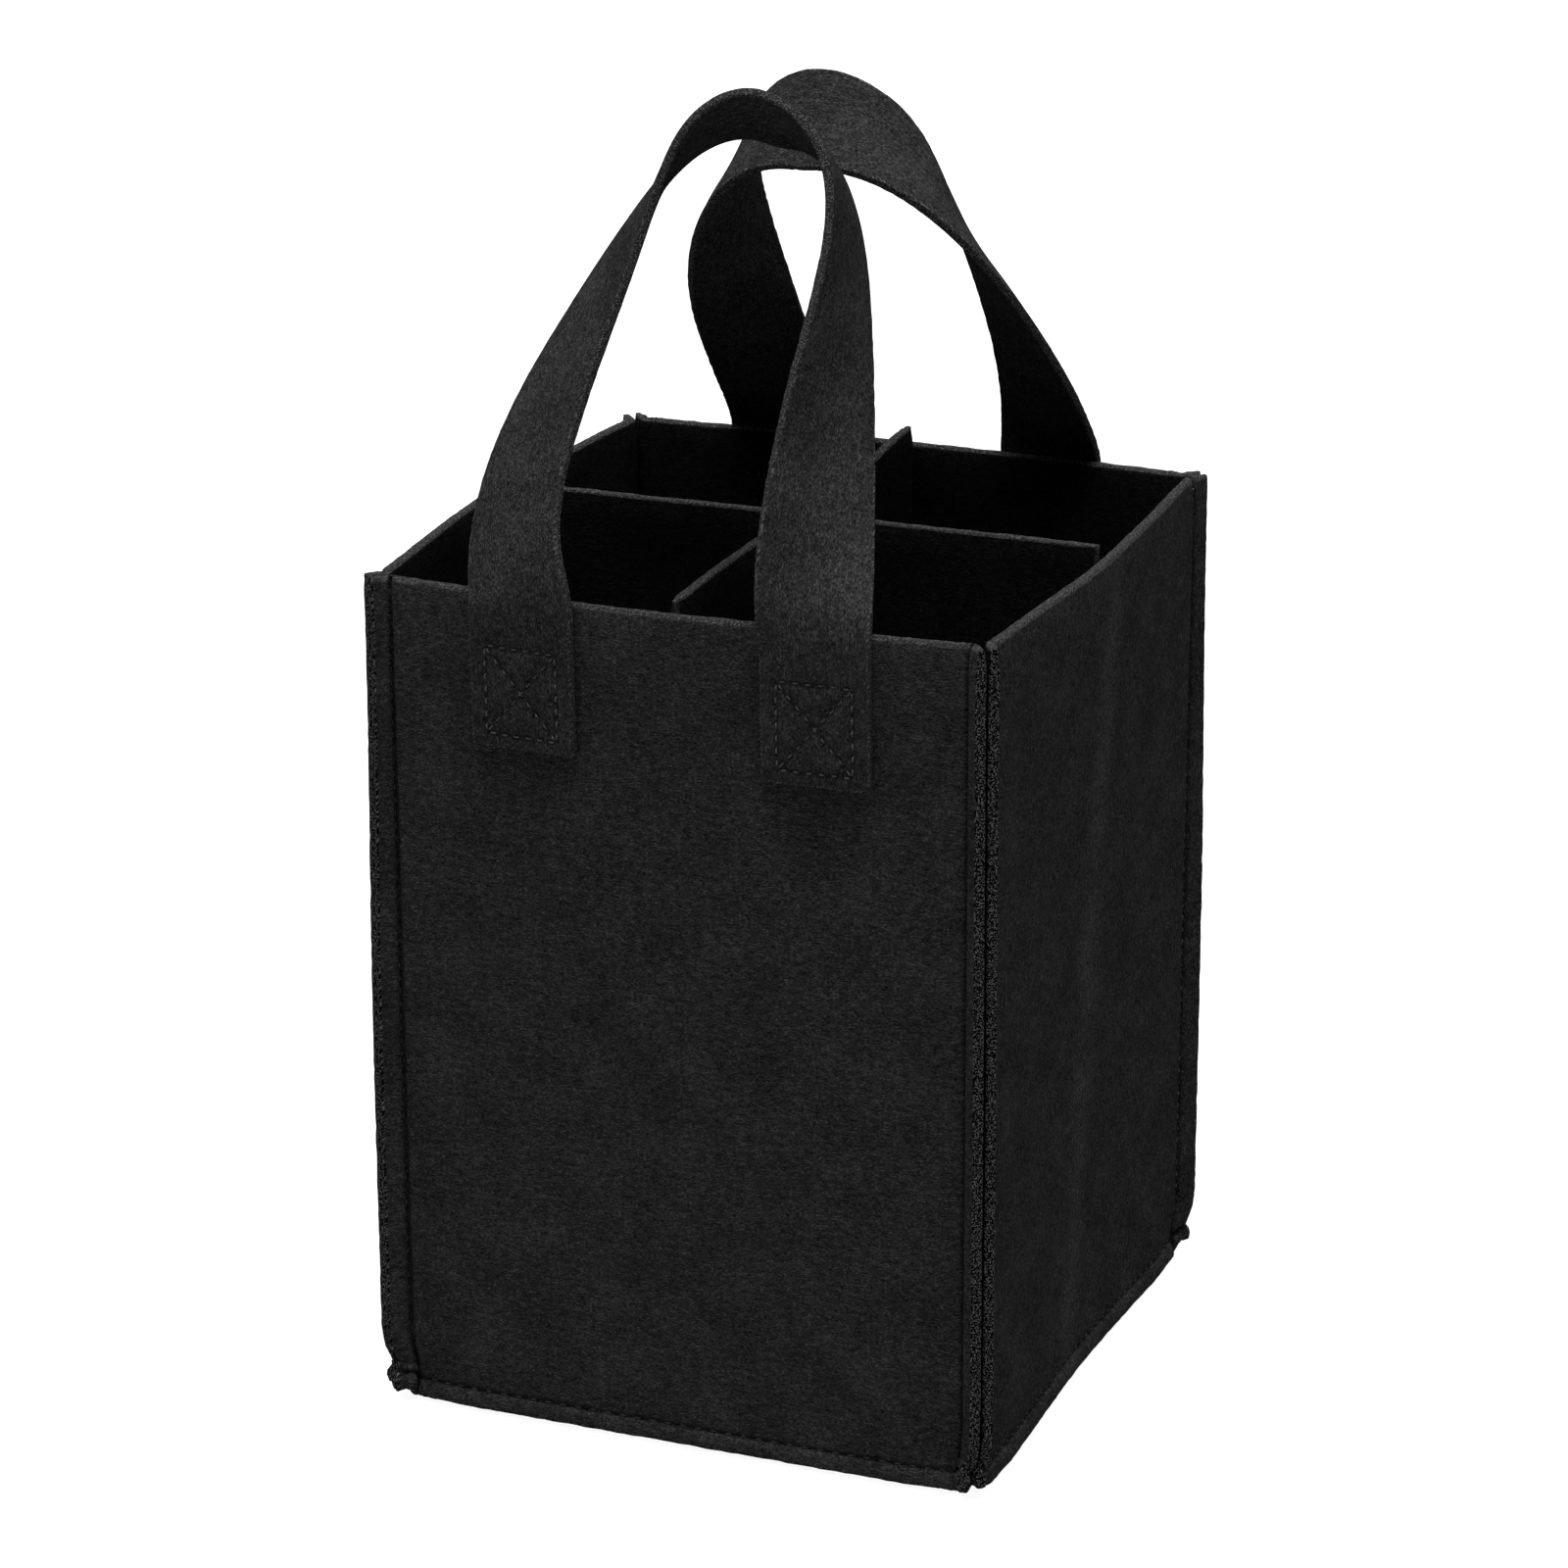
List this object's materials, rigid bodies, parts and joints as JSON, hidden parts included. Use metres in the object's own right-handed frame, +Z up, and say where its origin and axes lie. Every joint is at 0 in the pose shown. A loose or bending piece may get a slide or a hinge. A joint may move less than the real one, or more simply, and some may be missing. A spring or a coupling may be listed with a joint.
{
  "type": "divided felt tote bag",
  "caption": "Square felt carrier bag with a lift-out cross divider making cells and two strap handles sewn outside the front and back, seam margins turned outwards.",
  "frame": {"origin": "centre of the footprint on the floor, under the middle of the bag", "axes": "+Z up through the open rim, -Y out through the front wall that carries one handle, +X to the right seen from the front"},
  "size_m": [0.189, 0.189, 0.3795],
  "materials": {
    "wall_felt": "matte needle-punched felt",
    "inner_felt": "matte needle-punched felt",
    "strap_felt": "matte needle-punched felt",
    "thread": "dull sewing thread"
  },
  "bodies": {
    "bag": {"front_panel": "wall_felt", "back_panel": "wall_felt", "left_panel": "wall_felt", "right_panel": "wall_felt", "base_panel": "inner_felt", "front_left_strap_end": "strap_felt", "front_right_strap_end": "strap_felt", "back_left_strap_end": "strap_felt", "back_right_strap_end": "strap_felt", "front_left_box_stitch": "thread", "front_right_box_stitch": "thread", "back_left_box_stitch": "thread", "back_right_box_stitch": "thread", "front_left_seam_stitch": "thread", "front_right_seam_stitch": "thread", "back_left_seam_stitch": "thread", "back_right_seam_stitch": "thread", "front_base_stitch": "thread", "back_base_stitch": "thread", "left_base_stitch": "thread", "right_base_stitch": "thread"},
    "divider": {"divider_wide": "inner_felt", "divider_deep": "inner_felt"},
    "front_handle": {"front_handle_loop": "strap_felt"},
    "back_handle": {"back_handle_loop": "strap_felt"}
  },
  "joints": [
    {"name": "divider_lift", "type": "slide", "parent": "bag", "child": "divider", "axis": [0, 0, 1], "range_m": [0, 0.06]},
    {"name": "front_handle_swing", "type": "hinge", "parent": "bag", "child": "front_handle", "pos_m": [0, -0.094, 0.247], "axis": [1, 0, 0], "range_deg": [-12, 165]},
    {"name": "back_handle_swing", "type": "hinge", "parent": "bag", "child": "back_handle", "pos_m": [0, 0.094, 0.247], "axis": [-1, 0, 0], "range_deg": [-12, 165]}
  ]
}
